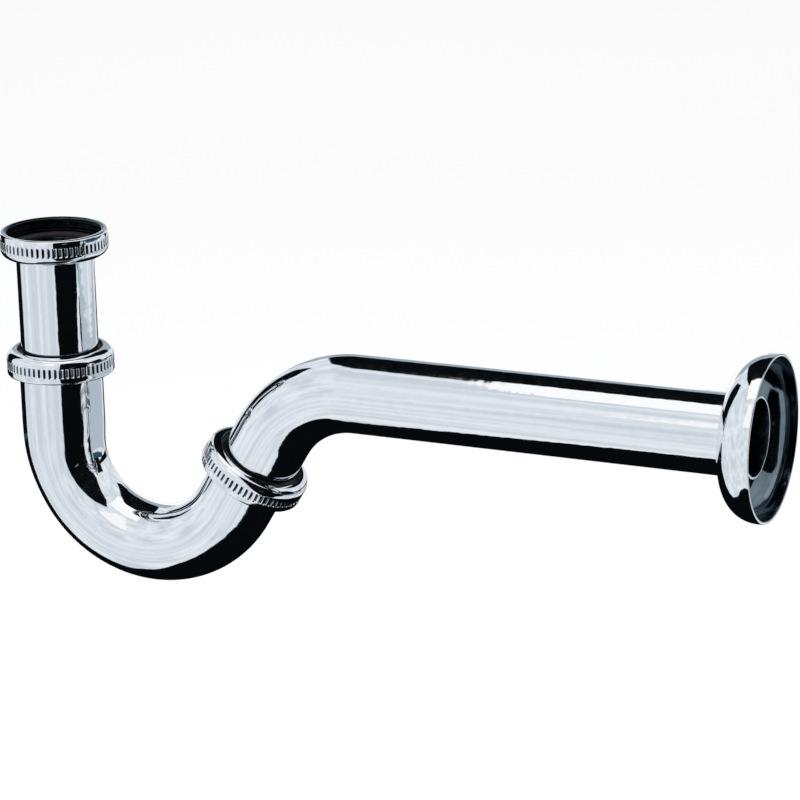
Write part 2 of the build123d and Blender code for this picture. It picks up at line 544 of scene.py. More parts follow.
def arc(
    centre: tuple[float, float], radius: float, start: float, end: float, steps: int
) -> Profile:
    """Points along an arc in a profile.

    Args:
        centre: Its centre.
        radius: Its radius.
        start: Angle of its first point, in degrees from the radius axis.
        end: Angle of its last point.
        steps: Number of stretches.

    Returns:
        The points, both ends included.
    """
    points = []
    for step in range(steps + 1):
        angle = math.radians(start + (end - start) * step / steps)
        points.append((centre[0] + radius * math.cos(angle), centre[1] + radius * math.sin(angle)))
    return points


def set_down(piece: Piece, seat: Seat) -> None:
    """Moves a piece from the origin to its seat, place in its mesh.

    Args:
        piece: The piece, modelled about the Z axis.
        seat: Where it goes.
    """
    pick(piece)
    piece.matrix_world = seat.matrix()
    bpy.ops.object.transform_apply(location=True, rotation=True, scale=True)


def smooth(piece: Piece, crease: float = 32.0) -> None:
    """Shades a piece smooth up to a crease angle, in degrees."""
    pick(piece)
    bpy.ops.object.shade_smooth_by_angle(angle=math.radians(crease))


def dress(piece: Piece, material: Material) -> None:
    """Gives a piece its material and smooth shading.

    Args:
        piece: The piece.
        material: Its finish.
    """
    piece.data.materials.clear()
    piece.data.materials.append(material)
    smooth(piece)


def dress_faces(piece: Piece, material: Material, test: FaceTest) -> None:
    """Gives some faces of a dressed piece a second finish.

    Args:
        piece: The piece, modelled about the Z axis.
        material: The second finish.
        test: Says whether a face takes it, from the radius and the place of its middle, in
            metres, and how far its normal points away from the axis, from -1 to 1.
    """
    pick(piece)
    bpy.ops.object.material_slot_add()
    piece.active_material = material
    mesh = open_mesh(piece, "FACE")
    chosen = 0
    for face in mesh.faces:
        middle = face.calc_center_median()
        radius = middle.xy.length
        if test(radius, middle, face.normal.xy.dot(middle.xy) / max(radius, WELD)):
            face.select_set(True)
            chosen += 1
    bmesh.update_edit_mesh(piece.data)
    bpy.ops.object.material_slot_assign()
    bpy.ops.object.mode_set(mode="OBJECT")
    LOG.info("%s: %d faces in %s", piece.name, chosen, material.name)


def hand_over(piece: Piece, body: str, node: str) -> None:
    """Hands a finished piece to the frame: what it rides on and stands for.

    Args:
        piece: The piece.
        body: Body that it moves with.
        node: CAD node that it replaces.
    """
    start_clean()
    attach(piece, body)
    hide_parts(node)
    LOG.info("%s: %d faces, on %s", piece.name, len(piece.data.polygons), body)


# ---------------------------------------------------------------------------------------
# Pieces


@dataclass
class TubeRun:
    """A drawn tube, made by extruding and spinning one ring along its path.

    Attributes:
        body: Body that it moves with.
        node: CAD node that it stands for.
        start: Centre of its first end.
        along: Direction in which it starts.
        radius: Outer radius, in millimetres.
        wall: Wall thickness, in millimetres.
        columns: Number of faces round it.
        stride: Length of one row of faces on a straight stretch, in millimetres.
        turn_step: Angle of one row of faces round a bend, in degrees.
        ease: Width of the rounding on the edges of its ends, in millimetres.
    """

    body: str
    node: str
    start: Vector
    along: Vector
    radius: float = 16.0
    wall: float = 1.0
    columns: int = COLUMNS
    stride: float = 4.0
    turn_step: float = 2.5
    ease: float = 0.22

    def __post_init__(self) -> None:
        """Lays the first ring across the start of the path."""
        start_clean()
        turn = UP.rotation_difference(self.along)
        bpy.ops.mesh.primitive_circle_add(
            vertices=self.columns,
            radius=self.radius * MM,
            fill_type="NOTHING",
            location=self.start,
            rotation=turn.to_euler(),
        )
        self.piece = bpy.context.object
        self.piece.name = self.piece.data.name = f"{self.node}_drawn"
        bpy.ops.object.transform_apply(location=True, rotation=True, scale=True)
        bpy.ops.object.mode_set(mode="EDIT")
        bpy.ops.mesh.select_mode(type="VERT")
        bpy.ops.mesh.select_all(action="SELECT")
        self.here = self.start.copy()
        self.heading = self.along.normalized()

    def straight(self, length: float) -> None:
        """Draws the tube on in a straight line.

        Args:
            length: Length of the stretch, in metres.
        """
        rows = max(2, round(length / (self.stride * MM)))
        step = self.heading * (length / rows)
        for _ in range(rows):
            bpy.ops.mesh.extrude_region_move(TRANSFORM_OT_translate={"value": step})
        self.here += self.heading * length

    def resize_ring(self, radius: float) -> None:
        """Brings the ring at the end of the tube to a new radius.

        Args:
            radius: Outer radius, in millimetres.
        """
        factor = radius / self.radius
        bpy.ops.transform.resize(value=(factor, factor, factor), center_override=self.here)
        self.radius = radius

    def straight_taper(self, length: float, radii: list[float]) -> None:
        """Draws the tube on in a straight line while its radius changes.

        Args:
            length: Length of the stretch, in metres.
            radii: Outer radius at the end of each of its rows, in millimetres.
        """
        for radius in radii:
            step = self.heading * (length / len(radii))
            bpy.ops.mesh.extrude_region_move(TRANSFORM_OT_translate={"value": step})
            self.here += step
            self.resize_ring(radius)

    def bend_taper(self, centre: Vector, axis: Vector, angle: float, radii: list[float]) -> None:
        """Draws the tube on round a bend while its radius changes.

        Args:
            centre: Centre of the bend.
            axis: Axis that it turns about, by the right-hand rule.
            angle: Angle of the bend, in degrees.
            radii: Outer radius at the end of each of its rows, in millimetres.
        """
        for radius in radii:
            self.turn(centre, axis, angle / len(radii), 1)
            self.resize_ring(radius)

    def bend(self, centre: Vector, axis: Vector, angle: float) -> None:
        """Draws the tube on round a bend.

        Args:
            centre: Centre of the bend.
            axis: Axis that it turns about, by the right-hand rule.
            angle: Angle of the bend, in degrees.
        """
        self.turn(centre, axis, angle, max(4, round(angle / self.turn_step)))

    def turn(self, centre: Vector, axis: Vector, angle: float, steps: int) -> None:
        """Spins the ring at the end of the tube round a centre.

        Args:
            centre: Centre of the turn.
            axis: Axis that it turns about, by the right-hand rule.
            angle: Angle of the turn, in degrees.
            steps: Number of rows of faces.
        """
        bpy.ops.mesh.spin(
            steps=steps, angle=-math.radians(angle), center=centre, axis=axis, use_auto_merge=False
        )
        turn = Matrix.Rotation(math.radians(angle), 3, axis)
        self.here = centre + turn @ (self.here - centre)
        self.heading = turn @ self.heading

    def finish(self, outside: Material, inside: Material) -> None:
        """Gives the tube its wall and its finishes, and hands it over.

        Args:
            outside: Finish of the outside and of the ends.
            inside: Finish of the bore, whose dark colour is painted shade.
        """
        close_skin()
        self.piece.data.materials.append(outside)
        # The second slot, for the bore, is the darker plate of painted shade.
        self.piece.data.materials.append(inside)
        apply_modifier(
            self.piece,
            "wall",
            "SOLIDIFY",
            thickness=self.wall * MM,
            offset=-1.0,
            use_even_offset=True,
            material_offset=1,
            material_offset_rim=0,
        )
        ease_edges(self.piece, self.ease, angle=60.0)
        smooth(self.piece)
        hand_over(self.piece, self.body, self.node)


@dataclass
class TurnedPiece:
    """A small piece that is turned or moulded round: a profile spun about its seat.

    Attributes:
        body: Body that it moves with.
        node: CAD node that it stands for.
        finish: Material slot of the record.
        profile: Closed profile of (radius, height) points.
        seat: Where its local origin and Z axis are.
        edge: Width of the rounding on its edges.
    """

    body: str
    node: str
    finish: Finish
    profile: Profile
    seat: Seat
    edge: float

    def build(self, palette: Palette) -> None:
        """Models, dresses and hands over the piece."""
        craft = "turned" if self.finish is Finish.BRASS else "moulded"
        piece = spin_profile(f"{self.node}_{craft}", self.profile)
        ease_edges(piece, self.edge)
        set_down(piece, self.seat)
        dress(piece, palette.of(self.finish))
        hand_over(piece, self.body, self.node)


def washer(inner: float, outer: float, low: float, high: float) -> Profile:
    """Profile of a plain ring, in millimetres."""
    return [(inner, low), (outer, low), (outer, high), (inner, high)]


@dataclass
class ThreadRidge:
    """The raised helix of a pipe thread, right-handed, a little sunk into the wall behind it.

    Attributes:
        root: Radius where the ridge stands on the wall, in millimetres.
        crest: Radius of its crest.
        low: Height of the middle of the ridge at its start.
        high: Height of the middle of the ridge at its end.
        pitch: Rise of one turn.
        flat: Width of the crest and of the root between ridges.
        sunk: Depth that it goes into the wall.
        columns: Number of faces in one turn.
    """

    root: float
    crest: float
    low: float
    high: float
    pitch: float = 2.309
    flat: float = 0.36
    sunk: float = 0.12
    columns: int = 96

    def build(self, name: str) -> Piece:
        """Models the ridge about the Z axis.

        Args:
            name: Name of the piece.

        Returns:
            The ridge, in object mode.
        """
        outwards = 1.0 if self.crest > self.root else -1.0
        foot = (self.pitch - self.flat) / 2
        buried = self.root - outwards * self.sunk
        profile = [
            (buried, self.low - foot),
            (self.root, self.low - foot),
            (self.crest, self.low - self.flat / 2),
            (self.crest, self.low + self.flat / 2),
            (self.root, self.low + foot),
            (buried, self.low + foot),
        ]
        ridge = draw_profile(name, profile)
        bpy.ops.object.mode_set(mode="OBJECT")
        turns = (self.high - self.low) / self.pitch
        steps = round(turns * self.columns)
        apply_modifier(
            ridge,
            "helix",
            "SCREW",
            axis="Z",
            angle=turns * math.tau,
            screw_offset=(self.high - self.low) * MM,
            steps=steps,
            render_steps=steps,
            use_merge_vertices=False,
        )
        open_mesh(ridge, "EDGE")
        bpy.ops.mesh.select_non_manifold()
        bpy.ops.mesh.edge_face_add()
        bpy.ops.mesh.select_all(action="SELECT")
        bpy.ops.mesh.normals_make_consistent(inside=False)
        bpy.ops.object.mode_set(mode="OBJECT")
        return ridge


def join_to(body: Piece, extra: Piece) -> None:
    """Joins an extra mesh into a piece.

    Args:
        body: The piece that stays.
        extra: The mesh that goes into it.
    """
    start_clean()
    extra.select_set(True)
    body.select_set(True)
    bpy.context.view_layer.objects.active = body
    bpy.ops.object.join()


@dataclass
class ThreadedSleeve:
    """Threaded end of the U-bend: a turned sleeve with a male thread.

    Attributes:
        node: CAD node that it stands for.
        bore: Radius of its bore.
        low: Height of its plain end.
        high: Height of its mouth.
        chamfer: Width of the chamfer round its mouth.
        mouth: Points from the end face of its mouth to the bore.
        seat: Where its local origin and Z axis are.
        crest: Radius of the thread's crest.
        root: Radius of the thread's root.
        edge: Width of the rounding on its edges.
        foot: Width and height of the chamfer at its plain end.
        lead_in: From the plain end and from the mouth to the middle of the thread's ends.
    """

    node: str
    bore: float
    low: float
    high: float
    chamfer: float
    mouth: Profile
    seat: Seat
    crest: float = 20.15
    root: float = 19.4
    edge: float = 0.08
    foot: tuple[float, float] = (0.9, 0.5)
    lead_in: tuple[float, float] = (1.8, 1.2)

    def build(self, palette: Palette) -> None:
        """Models, dresses and hands over the sleeve."""
        name = f"{self.node}_turned"
        profile = [
            (self.bore, self.low),
            (self.root - self.foot[0], self.low),
            (self.root, self.low + self.foot[1]),
            (self.root, self.high - self.chamfer),
            (self.root - self.chamfer, self.high),
            *self.mouth,
        ]
        sleeve = spin_profile(name, profile)
        ease_edges(sleeve, self.edge)
        first, last = self.low + self.lead_in[0], self.high - self.lead_in[1]
        join_to(sleeve, ThreadRidge(self.root, self.crest, first, last).build(f"{name}_thread"))
        set_down(sleeve, self.seat)
        dress(sleeve, palette.turned)
        hand_over(sleeve, "u_bend", self.node)


@dataclass
class UnionNut:
    """Knurled union nut, the same size in all three joints, modelled once and copied.

    Its closed end is at height 0 and its open mouth at its full height.

    Attributes:
        radius: Outer radius.
        height: Height over all.
        bore: Radius of the hole in its closed end.
        lip: Thickness of its closed end.
        relief: Height inside, over the lip, where the thread has not begun.
        mouth_chamfer: Height of the flare at its mouth.
        mouth_flare: Width of the flare at its mouth.
        closed_round: Rounding of its closed end.
        open_round: Rounding of its open end.
        knurl_low: Height where the grooves start.
        knurl_high: Height where they end.
        knurl_count: Number of grooves.
        knurl_depth: Depth of a groove.
        knurl_end: Length over which a groove runs out at each end.
        groove_shade: Depth from which a groove takes the darker plate of painted shade.
        major: Radius of the thread's root.
        run_out: Height over which the mouth narrows to the thread's root.
        entry: Height of the plain band behind the flare.
        corner: Chamfer between the lip and the thread's root.
        bore_chamfer: Chamfer round the hole in its closed end.
        thread_end: From the flare to the middle of the thread's last turn.
        thread_clear: How far the helix stays back from the plain band.
    """

    radius: float = 22.2
    height: float = 10.6
    bore: float = 17.6
    lip: float = 1.4
    relief: float = 3.4
    mouth_chamfer: float = 0.5
    mouth_flare: float = 1.0
    closed_round: float = 3.6
    open_round: float = 1.0
    knurl_low: float = 3.7
    knurl_high: float = 7.8
    knurl_count: int = 60
    knurl_depth: float = 0.6
    knurl_end: float = 0.5
    groove_shade: float = 0.14
    major: float = 20.955
    run_out: float = 0.8
    entry: float = 0.36
    corner: float = 0.4
    bore_chamfer: float = 0.3
    thread_end: float = 0.75
    thread_clear: float = 0.03

    def profile(self, crest: float) -> Profile:
        """Profile of the nut without its helix.

        Args:
            crest: Radius of the thread's crest.

        Returns:
            Its closed profile.
        """
        closed_heart = (self.radius - self.closed_round, self.closed_round)
        open_heart = (self.radius - self.open_round, self.height - self.open_round)
        closed = arc(closed_heart, self.closed_round, -90, 0, 10)
        opened = arc(open_heart, self.open_round, 0, 90, 6)
        mouth = self.height - self.mouth_chamfer
        flare = min(crest + self.mouth_flare, self.radius - self.open_round - 0.15)
        outside = closed + [
            (self.radius, self.knurl_low),
            (self.radius, self.knurl_low + self.knurl_end),
            (self.radius, self.knurl_high - self.knurl_end),
            (self.radius, self.knurl_high),
        ]
        inside = [
            (flare, self.height),
            (crest, mouth),
            (crest, mouth - self.entry),
            (self.major, mouth - self.entry - self.run_out),
            (self.major, self.lip + self.corner),
            (self.major - self.corner, self.lip),
            (self.bore, self.lip),
            (self.bore, self.bore_chamfer),
            (self.bore + self.bore_chamfer, 0.0),
        ]
        return outside + opened + inside

    def cut_knurl(self, piece: Piece) -> None:
        """Presses the grip grooves into the outside of the nut, V-shaped with run-out ends.

        Args:
            piece: The turned nut, four columns to each groove.
        """
        limit = (self.radius - 0.1) * MM
        low = (self.knurl_low + self.knurl_end / 2) * MM
        high = (self.knurl_high - self.knurl_end / 2) * MM
        pick(piece)
        mesh = open_mesh(piece)
        pressed = 0
        for vertex in mesh.verts:
            if low < vertex.co.z < high and vertex.co.xy.length > limit:
                turn = math.degrees(math.atan2(vertex.co.y, vertex.co.x)) % 360.0
                if round(turn * self.knurl_count / 90.0) % 4 == 0:
                    vertex.select_set(True)
                    pressed += 1
        bmesh.update_edit_mesh(piece.data)
        narrow = 1.0 - self.knurl_depth / self.radius
        bpy.ops.transform.resize(value=(narrow, narrow, 1.0), center_override=(0.0, 0.0, 0.0))
        bpy.ops.object.mode_set(mode="OBJECT")
        LOG.info("%s: %d groove corners pressed in", piece.name, pressed)

    def in_painted_shade(self, radius: float, middle: Vector, outwards: float) -> bool:
        """Whether a face lies inside the nut or down in a groove, where shade is painted.

        Args:
            radius: Radius of the face's middle, in metres.
            middle: Its middle, in metres.
            outwards: How far its normal points away from the axis.

        Returns:
            True where the plating is duller and darkened with painted shade.
        """
        in_groove = (
            outwards > 0.0
            and self.knurl_low < middle.z / MM < self.knurl_high
            and radius < (self.radius - self.groove_shade) * MM
        )
        return outwards < -0.2 or in_groove

    def build_blank(self, crest: float, palette: Palette) -> Piece:
        """Models and dresses a nut about the Z axis, with its thread.

        Args:
            crest: Radius of the thread's crest.
            palette: The trap's materials.

        Returns:
            The nut.
        """
        blank = spin_profile("nut_blank", self.profile(crest), self.knurl_count * 4)
        self.cut_knurl(blank)
        ease_edges(blank, 0.09, angle=40.0)
        thread = ThreadRidge(
            root=self.major,
            crest=crest + self.thread_clear,
            low=self.lip + self.relief,
            high=self.height - self.mouth_chamfer - self.thread_end,
        )
        join_to(blank, thread.build("nut_thread"))
        dress(blank, palette.turned)
        # The bores and the groove bottoms take the darker plate: painted shade in those recesses.
        dress_faces(blank, palette.dull_painted_shade, self.in_painted_shade)
        return blank

    def copy_to(self, blank: Piece, name: str, seat: Seat) -> None:
        """Copies the blank to a joint, with its own mesh.

        Args:
            blank: The nut about the Z axis.
            name: Name of the piece, of its body and of its CAD node.
            seat: Where its closed end is and which way its mouth looks.
        """
        pick(blank)
        bpy.ops.object.duplicate(linked=False)
        nut = bpy.context.object
        nut.name = nut.data.name = f"{name}_knurled"
        set_down(nut, seat)
        hand_over(nut, name, name)


@dataclass(frozen=True)
class Route:
    """The path of the trap, in millimetres: two legs, two bends and the run to the wall.

    All places follow from the tube's bends, with the origin on the inlet axis.

    Attributes:
        bend_z: Height where the inlet leg goes into the U-bend.
        u_radius: Radius of the U-bend's middle line.
        u_sweep: Angle of the U-bend, in degrees.
        outlet_bend_at: Length of the outlet leg, up to the outlet bend.
        outlet_radius: Radius of the outlet bend's middle line.
        outlet_run: Length of the level run.
    """

    bend_z: float = -88.0
    u_radius: float = 42.25
    u_sweep: float = 149.3
    outlet_bend_at: float = 37.3
    outlet_radius: float = 43.8
    outlet_run: float = 166.5

    @property
    def slope(self) -> float:
        """Angle at which the outlet leg rises, in degrees."""
        return self.u_sweep - 90.0

    @property
    def rise(self) -> Vector:
        """Direction of the outlet leg."""
        angle = math.radians(self.slope)
        return Vector((math.cos(angle), 0.0, math.sin(angle)))

    @property
    def across(self) -> Vector:
        """Direction square to the outlet leg, towards the outside of the upper bend's centre."""
        angle = math.radians(self.slope)
        return Vector((math.sin(angle), 0.0, -math.cos(angle)))

    @property
    def u_centre(self) -> Vector:
        """Centre of the U-bend."""
        return Vector((self.u_radius, 0.0, self.bend_z)) * MM

    @property
    def u_end(self) -> Vector:
        """Where the U-bend meets the outlet leg."""
        return self.u_centre + self.across * (self.u_radius * MM)

    @property
    def outlet_bend_start(self) -> Vector:
        """Where the outlet leg starts to level out."""
        return self.u_end + self.rise * (self.outlet_bend_at * MM)

    @property
    def outlet_centre(self) -> Vector:
        """Centre of the outlet bend."""
        return self.outlet_bend_start + self.across * (self.outlet_radius * MM)

    @property
    def run_end(self) -> Vector:
        """Open end of the pipe."""
        return self.outlet_centre + Vector((self.outlet_run * MM, 0.0, self.outlet_radius * MM))

    def leg_seat(self, along: float) -> Seat:
        """Seat on the outlet leg.

        Args:
            along: Distance from the end of the U-bend, in millimetres.

        Returns:
            The seat, its Z axis up the leg.
        """
        return Seat(self.u_end + self.rise * (along * MM), self.rise)


@dataclass
class UnionJoint:
    """What the trap's three nut joints have in common.

    Attributes:
        nut: The knurled nut.
        ring_outer: Outer radius of the slip ring, the flange and the gasket.
        tube_radius: Outer radius of the tube through the nut.
        loose: Gap round the tube of the pieces that slide on it.
        tight: Overlap with the tube of the pieces that are soldered to it.
        ring_height: Thickness of the slip ring.
        flange_height: Thickness of the flange.
        gasket_height: Thickness of the gasket.
        gasket_inset: How far the gasket reaches in over the tube's end.
        gap: Gap that keeps pieces of different bodies apart.
    """

    nut: UnionNut
    ring_outer: float = 19.2
    tube_radius: float = 16.0
    loose: float = 0.06
    tight: float = 0.02
    ring_height: float = 0.7
    flange_height: float = 1.0
    gasket_height: float = 1.6
    gasket_inset: float = 1.0
    gap: float = 0.05

    def slip_ring(self, body: str, node: str, low: float, seat: Seat) -> TurnedPiece:
        """The plastic ring that the nut turns on.

        Args:
            body: Body that it moves with.
            node: CAD node that it stands for.
            low: Height of its underside on the seat.
            seat: Where its local origin and Z axis are.

        Returns:
            The ring, not built yet.
        """
        bore = self.tube_radius + self.loose
        profile = washer(bore, self.ring_outer, low, low + self.ring_height)
        return TurnedPiece(body, node, Finish.PLASTIC, profile, seat, 0.1)

    def flange(self, body: str, node: str, low: float, seat: Seat) -> TurnedPiece:
        """The brass ring on a tube's end that the nut pulls on, with slip_ring's arguments."""
        bore = self.tube_radius - self.tight
        profile = washer(bore, self.ring_outer, low, low + self.flange_height)
        return TurnedPiece(body, node, Finish.BRASS, profile, seat, 0.15)

    def gasket(self, body: str, node: str, low: float, seat: Seat) -> TurnedPiece:
        """The flat rubber gasket on a flange, with slip_ring's arguments."""
        bore = self.tube_radius - self.gasket_inset
        profile = washer(bore, self.ring_outer, low, low + self.gasket_height)
        return TurnedPiece(body, node, Finish.RUBBER, profile, seat, 0.3)


@dataclass
class InletJoint(UnionJoint):
    """Height-adjusting inlet tube with its flange, gasket, slip ring and nut.

    Attributes:
        closed_z: Height of the nut's closed end.
        tube_end_z: Height of the tube's lower end.
    """

    closed_z: float = -10.1
    tube_end_z: float = -79.5

    def build(self, blank: Piece, palette: Palette) -> None:
        """Builds and dresses the joint.

        Args:
            blank: Nut with a full thread.
            palette: The trap's materials.
        """
        upright = Seat(Vector())
        ring_low = self.closed_z + self.nut.lip
        flange_low = ring_low + self.ring_height + self.gap
        seat_z = flange_low + self.flange_height
        tube = TubeRun("inlet", "inlet_tube", UP * (seat_z * MM), DOWN)
        tube.straight((seat_z - self.tube_end_z) * MM)
        tube.finish(palette.upright, palette.dull_painted_shade)
        self.flange("inlet", "inlet_flange", flange_low, upright).build(palette)
        self.gasket("inlet", "inlet_gasket", seat_z, upright).build(palette)
        self.slip_ring("inlet_ring", "inlet_slip_ring", ring_low, upright).build(palette)
        self.nut.copy_to(blank, "inlet_nut", Seat(UP * (self.closed_z * MM)))


@dataclass
class MiddleJoint(UnionJoint):
    """Slip joint for height: nut, plastic ring and rubber cone over the threaded socket.

    Attributes:
        lip_z: Height of the nut's closed end.
        cone_radius: Radius of the cone seal's top.
        cone_tip: Radius of its tip.
        cone_shoulder: Height of its straight part.
        cone_height: Height of the whole seal.
        seat_gap: Gap between the cone and its seat.
        seat_mouth: Radius of the seat's mouth.
        socket_radius: Outer radius of the widened leg.
    """

    lip_z: float = -49.6
    cone_radius: float = 18.7
    cone_tip: float = 17.0
    cone_shoulder: float = 1.2
    cone_height: float = 3.6
    seat_gap: float = 0.3
    seat_mouth: float = 18.9
    socket_radius: float = 17.2

    @property
    def cone_top(self) -> float:
        """Height of the cone seal's top."""
        return self.lip_z - self.nut.lip - self.ring_height - self.gap

    @property
    def seat_low(self) -> float:
        """Height at which the widened leg of the U-bend ends."""
        return self.cone_top - self.cone_height - self.seat_gap

    def socket(self, seat: Seat) -> ThreadedSleeve:
        """The threaded socket on the widened leg, not built yet."""
        bore = self.socket_radius - self.tight
        high = self.cone_top - self.cone_shoulder - self.seat_gap
        return ThreadedSleeve(
            node="u_bend_inlet_socket",
            bore=bore,
            low=self.lip_z - self.nut.height + self.gap,
            high=high,
            chamfer=0.25,
            mouth=[(self.seat_mouth, high), (bore, self.seat_low)],
            seat=seat,
        )

    def build(self, blank: Piece, palette: Palette) -> None:
        """Builds and dresses the joint.

        Args:
            blank: Nut whose thread runs clear.
            palette: The trap's materials.
        """
        upright = Seat(Vector())
        bore = self.tube_radius + self.loose
        ring_low = self.lip_z - self.nut.lip - self.ring_height
        cone = [
            (bore, self.cone_top - self.cone_height),
            (self.cone_tip, self.cone_top - self.cone_height),
            (self.cone_radius, self.cone_top - self.cone_shoulder),
            (self.cone_radius, self.cone_top),
            (bore, self.cone_top),
        ]
        seal = TurnedPiece("middle_seal", "middle_cone_seal", Finish.RUBBER, cone, upright, 0.2)
        self.slip_ring("middle_ring", "middle_slip_ring", ring_low, upright).build(palette)
        seal.build(palette)
        self.socket(upright).build(palette)
        self.nut.copy_to(blank, "middle_nut", Seat(UP * (self.lip_z * MM), DOWN))


@dataclass
class UBend:
    """Drawn U-shaped tube: widened inlet leg, long bend and outlet leg.

    Attributes:
        route: Path of the trap.
        top_z: Height of its inlet end.
        outlet_leg: Length of its outlet leg.
        socket_radius: Outer radius of the widened leg.
        tube_radius: Outer radius of the rest.
        taper_z: Height where the leg starts to narrow.
        taper_sweep: Angle of the bend over which it goes on narrowing, in degrees.
        taper_rows: Rows of faces along the taper's straight and curved part.
    """

    route: Route
    top_z: float
    outlet_leg: float
    socket_radius: float = 17.2
    tube_radius: float = 16.0
    taper_z: float = -80.0
    taper_sweep: float = 30.0
    taper_rows: tuple[int, int] = (4, 12)

    def narrowed(self, distance: float, length: float) -> float:
        """Outer radius of the leg at a distance along its taper, which has a given length."""
        part = distance / length
        share = part * part * (3.0 - 2.0 * part)
        return self.socket_radius + (self.tube_radius - self.socket_radius) * share

    def build(self, palette: Palette) -> None:
        """Builds and dresses the tube."""
        route = self.route
        axis = Vector((0.0, -1.0, 0.0))
        drop = self.taper_z - route.bend_z
        swept = math.radians(self.taper_sweep) * route.u_radius
        length = drop + swept
        rows, turns = self.taper_rows
        straight = [self.narrowed(drop * row / rows, length) for row in range(1, rows + 1)]
        curved = [self.narrowed(drop + swept * row / turns, length) for row in range(1, turns + 1)]
        top = UP * (self.top_z * MM)
        tube = TubeRun("u_bend", "u_bend_tube", top, DOWN, self.socket_radius)
        tube.straight((self.top_z - self.taper_z) * MM)
        tube.straight_taper(drop * MM, straight)
        tube.bend_taper(route.u_centre, axis, self.taper_sweep, curved)
        tube.bend(route.u_centre, axis, route.u_sweep - self.taper_sweep)
        tube.straight(self.outlet_leg * MM)
        tube.finish(palette.bent, palette.dull_painted_shade)


@dataclass
class LowerJoint(UnionJoint):
    """Union of U-bend and outlet: the nut hangs on the outlet's flange, mouth to the U-bend.

    Attributes:
        lip_at: Height of the nut's closed end along the outlet leg.
        route: Path of the trap.
    """

    lip_at: float = 25.2
    route: Route = field(kw_only=True)

    @property
    def ring_low(self) -> float:
        """Height of the slip ring along the outlet leg."""
        return self.lip_at - self.nut.lip - self.ring_height

    @property
    def flange_low(self) -> float:
        """Height at which the outlet tube and its flange start."""
        return self.ring_low - self.gap - self.flange_height

    @property
    def leg_end(self) -> float:
        """Height at which the U-bend's leg and its ferrule end, under the gasket."""
        return self.flange_low - self.gasket_height

    def ferrule(self, seat: Seat) -> ThreadedSleeve:
        """The threaded ferrule on the end of the U-bend, not built yet."""
        bore = self.tube_radius - self.tight
        return ThreadedSleeve(
            node="u_bend_outlet_ferrule",
            bore=bore,
            low=self.lip_at - self.nut.height + self.gap,
            high=self.leg_end,
            chamfer=0.3,
            mouth=[(bore, self.leg_end)],
            seat=seat,
        )

    def build(self, blank: Piece, palette: Palette) -> None:
        """Builds and dresses the joint.

        Args:
            blank: Nut whose thread runs clear.
            palette: The trap's materials.
        """
        leg = self.route.leg_seat(0.0)
        self.slip_ring("lower_ring", "lower_slip_ring", self.ring_low, leg).build(palette)
        self.flange("outlet", "outlet_flange", self.flange_low, leg).build(palette)
        self.gasket("u_bend", "lower_gasket", self.leg_end, leg).build(palette)
        self.ferrule(leg).build(palette)
        up_leg = self.route.leg_seat(self.lip_at)
        self.nut.copy_to(blank, "lower_nut", Seat(up_leg.at, -up_leg.along))


@dataclass
class OutletTube:
    """Drawn outlet tube: sloping leg from the union, bend to level and the run to the wall.

    Attributes:
        route: Path of the trap.
        leg_start: Where it starts along the outlet leg.
    """

    route: Route
    leg_start: float

    def build(self, palette: Palette) -> None:
        """Builds and dresses the tube."""
        route = self.route
        start = route.leg_seat(self.leg_start).at
        tube = TubeRun("outlet", "outlet_tube", start, route.rise)
        tube.straight((route.outlet_bend_at - self.leg_start) * MM)
        tube.bend(route.outlet_centre, Vector((0.0, 1.0, 0.0)), route.slope)
        tube.straight(route.outlet_run * MM)
        tube.finish(palette.level, palette.dull_painted_shade)


